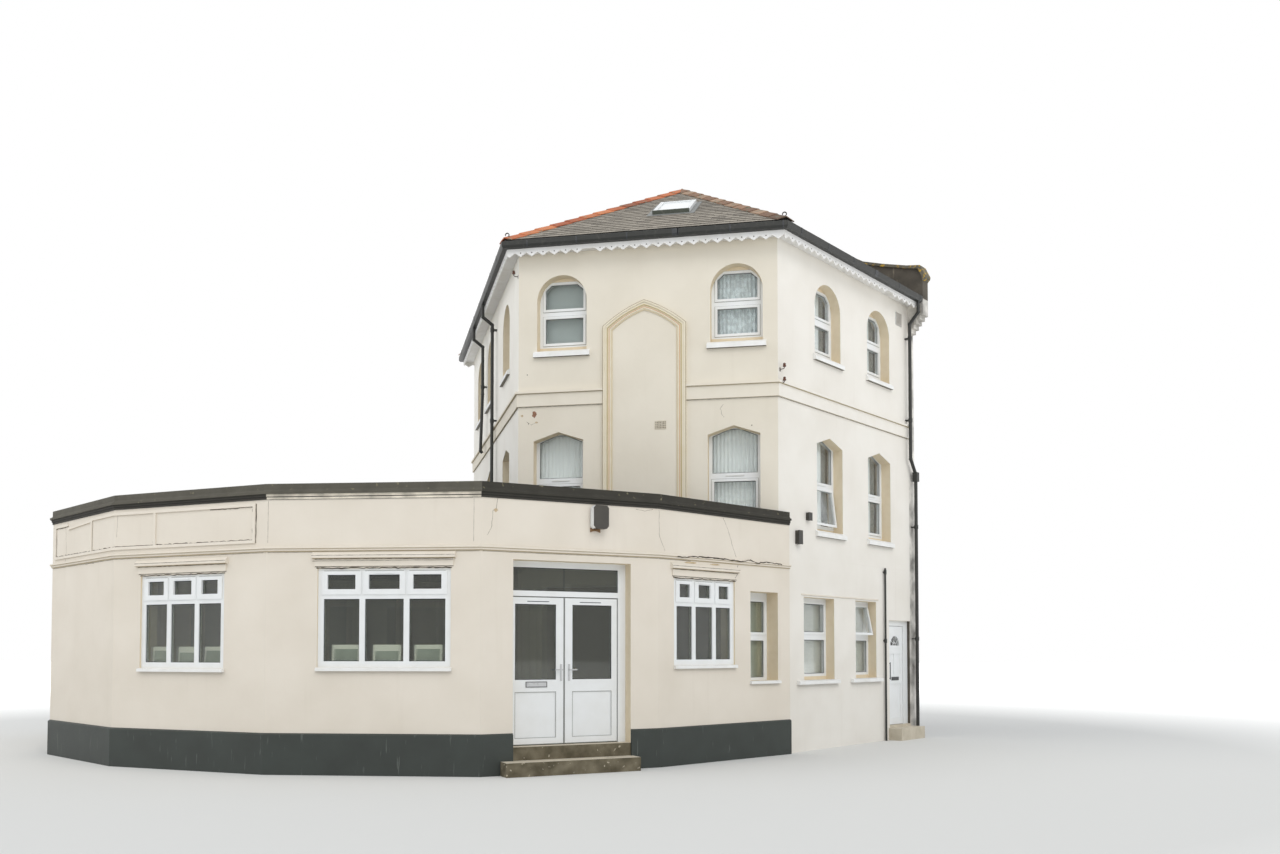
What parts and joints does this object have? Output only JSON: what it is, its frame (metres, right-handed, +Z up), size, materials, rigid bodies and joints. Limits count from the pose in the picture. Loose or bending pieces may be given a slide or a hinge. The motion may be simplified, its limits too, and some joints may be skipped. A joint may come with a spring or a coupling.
{
  "type": "corner shop building",
  "caption": "Rendered corner building: a single-storey bent shop front with double doors wraps a three-storey hipped house with arched windows.",
  "frame": {"origin": "middle of the plan's box, at the level of the lowest ground under the walls", "axes": "+Z up; +X along the house's cut-off corner face, from the left-hand face to the right-hand face; the corner face looks along -Y"},
  "size_m": [17.7251, 12.7072, 11.7703],
  "materials": {
    "cream_render": "painted render, matt",
    "pale_render": "painted render, matt",
    "bare_render": "weathered cement render",
    "concrete": "worn concrete",
    "floor_boards": "sawn boards",
    "roof_felt": "weathered dark felt and flashing",
    "dark_paint": "dark masonry paint",
    "white_upvc": "moulded, semi-gloss",
    "white_paint": "gloss paint, weathered",
    "stained_stucco": "painted stucco, stained tan",
    "window_glass": "clear float glass",
    "slate": "fibre slate, matt",
    "terracotta": "clay tile",
    "black_pipe": "black plastic",
    "door_metal": "plated"
  },
  "bodies": {
    "root": {"corner_wall": "cream_render", "left_wall": "cream_render", "right_wall": "pale_render", "right_ground_wall": "pale_render", "street_door_lintel": "pale_render", "party_wall": "bare_render", "rear_wall": "cream_render", "inner_piers": "cream_render", "inner_beams": "cream_render", "shop_side_wall": "cream_render", "shop_far_left_wall": "cream_render", "shop_left_wall": "cream_render", "shop_front_wall": "cream_render", "entrance_side_walls": "cream_render", "entrance_lintel": "cream_render", "shop_right_wall": "cream_render", "shop_rear_wall": "cream_render", "shop_floor": "concrete", "house_floor": "concrete", "first_floor": "floor_boards", "second_floor": "floor_boards", "shop_roof": "roof_felt", "parapet_cap": "roof_felt", "shop_string": "cream_render", "shop_plinth": "dark_paint", "window_hoods": "cream_render", "window_sills": "white_paint", "shop_window_frames": "white_upvc", "shop_glass": "window_glass", "house_window_frames": "white_upvc", "house_glass": "window_glass", "string_course": "cream_render", "niche_moulding": "stained_stucco", "corner_roof_slope": "slate", "left_roof_slope": "slate", "right_roof_slope": "slate", "rear_roof_slope": "slate", "hip_tiles": "terracotta", "roof_window": "white_upvc", "soffit_and_fascia": "white_paint", "valance": "white_paint", "gutter": "black_pipe", "party_coping": "concrete", "rainwater_pipes": "black_pipe", "entrance_frame": "white_upvc", "door_steps": "concrete", "street_door_frame": "white_upvc", "cap_moulding": "cream_render", "sign_panel_frames": "cream_render", "wall_fittings": "white_upvc"},
    "shop_door_left": {"shop_door_left": "white_upvc", "shop_door_left_glass": "window_glass", "shop_door_left_fittings": "door_metal"},
    "shop_door_right": {"shop_door_right": "white_upvc", "shop_door_right_glass": "window_glass", "shop_door_right_fittings": "door_metal"},
    "street_door": {"street_door": "white_upvc", "street_door_fittings": "door_metal", "street_door_glass": "window_glass"}
  },
  "joints": [
    {"name": "shop_door_left_hinge", "type": "hinge", "parent": "root", "child": "shop_door_left", "pos_m": [2.24041, -5.49857, 0.4], "axis": [0, 0, 1], "range_deg": [0, 90]},
    {"name": "shop_door_right_hinge", "type": "hinge", "parent": "root", "child": "shop_door_right", "pos_m": [3.61902, -4.47845, 0.4], "axis": [0, 0, -1], "range_deg": [0, 90]},
    {"name": "street_door_hinge", "type": "hinge", "parent": "root", "child": "street_door", "pos_m": [8.17043, 2.05503, 0.291], "axis": [0, 0, -1], "range_deg": [0, 90]}
  ]
}
